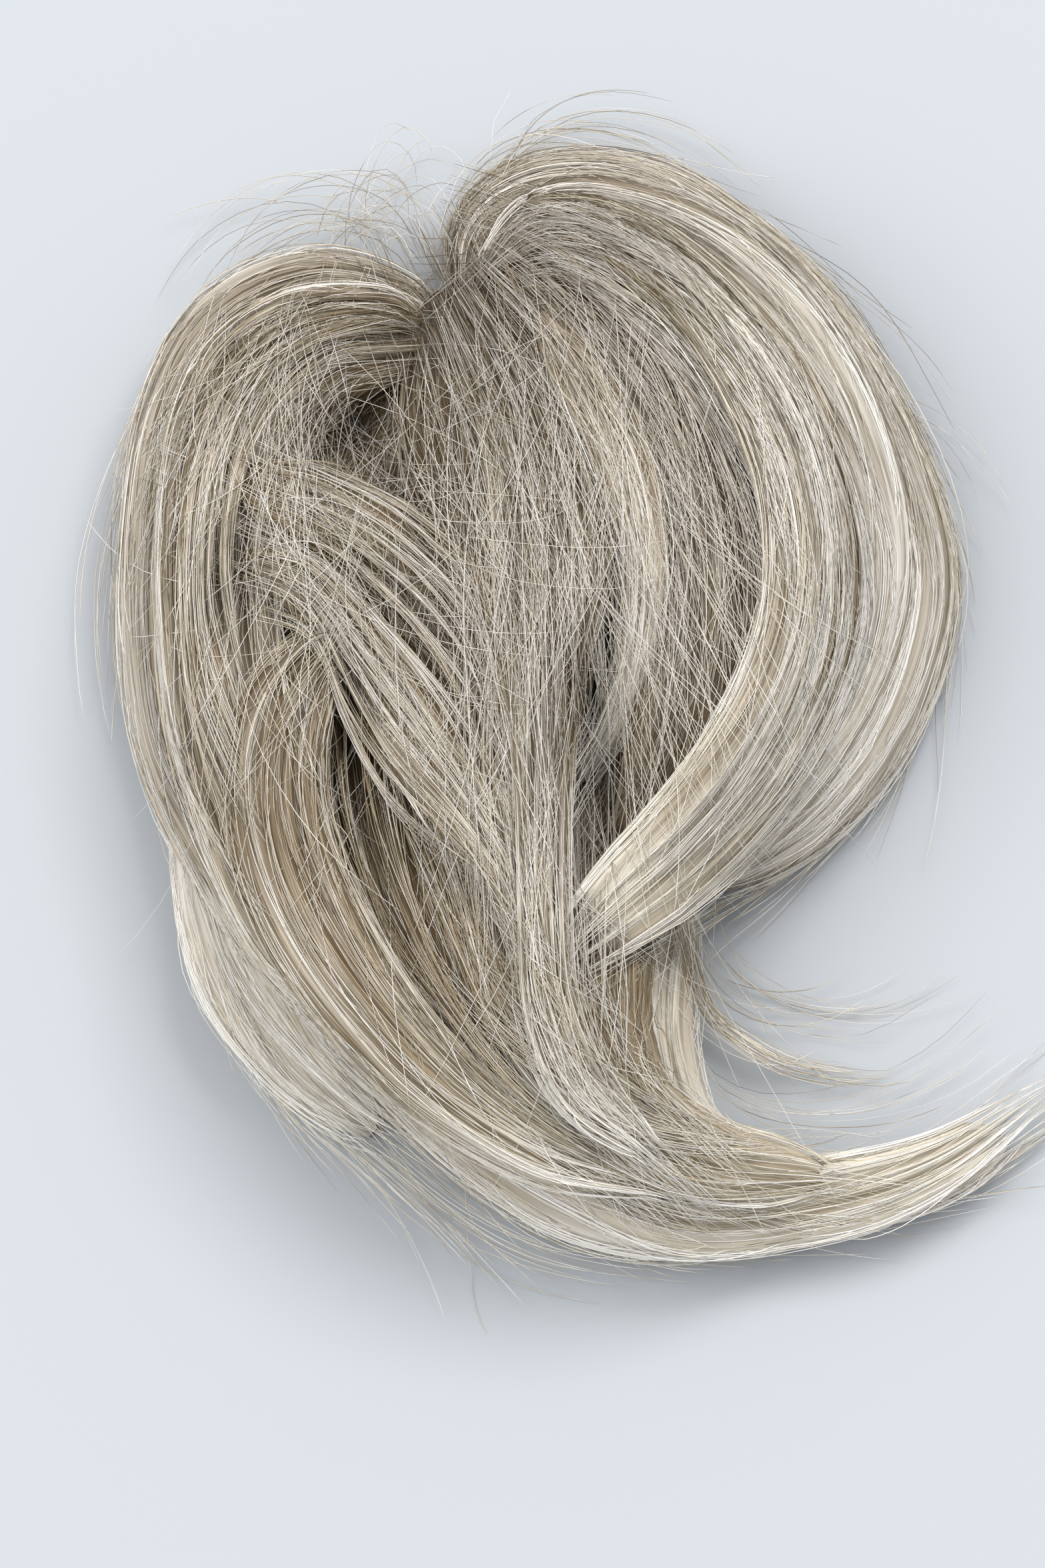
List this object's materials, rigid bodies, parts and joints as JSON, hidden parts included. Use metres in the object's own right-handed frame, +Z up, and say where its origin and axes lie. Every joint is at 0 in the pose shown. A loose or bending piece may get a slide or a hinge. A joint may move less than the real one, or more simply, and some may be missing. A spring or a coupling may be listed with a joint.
{
  "type": "top knot hairpiece",
  "caption": "Blonde top knot hairpiece lying loose: locks rise from a stitched base, sweep round both sides and gather in a curved tail.",
  "frame": {"origin": "centre of the bounding box's underside, on the surface that the piece lies on", "axes": "+X towards the end of the tail, +Y away from the tail towards the notch, +Z up"},
  "size_m": [0.1522, 0.1978, 0.0517],
  "materials": {
    "cream": "pale cream hair, the lightest locks",
    "beige": "beige-blonde hair",
    "ash": "ash-blonde hair",
    "grey": "grey-blonde hair",
    "taupe": "taupe hair near the roots",
    "brown": "golden brown strands between the locks",
    "under": "shaded hair under the locks",
    "base": "stitched weft base in a hair tone"
  },
  "bodies": {
    "root": {"weft_base": "base", "inner_hair": "under", "blunt_lock": "cream", "left_roll": "ash", "pocket_roll": "taupe", "left_inner_roll": "beige", "under_fall": "brown", "inner_fall": "brown", "left_loop": "beige", "lower_fall": "brown", "tail_lock": "cream", "right_outer_roll": "ash", "right_middle_roll": "grey", "crown_veil": "taupe", "swoop": "cream", "crossing_lock": "beige", "lower_crossing_lock": "cream", "centre_fall": "ash", "pale_curl": "cream"}
  },
  "joints": []
}
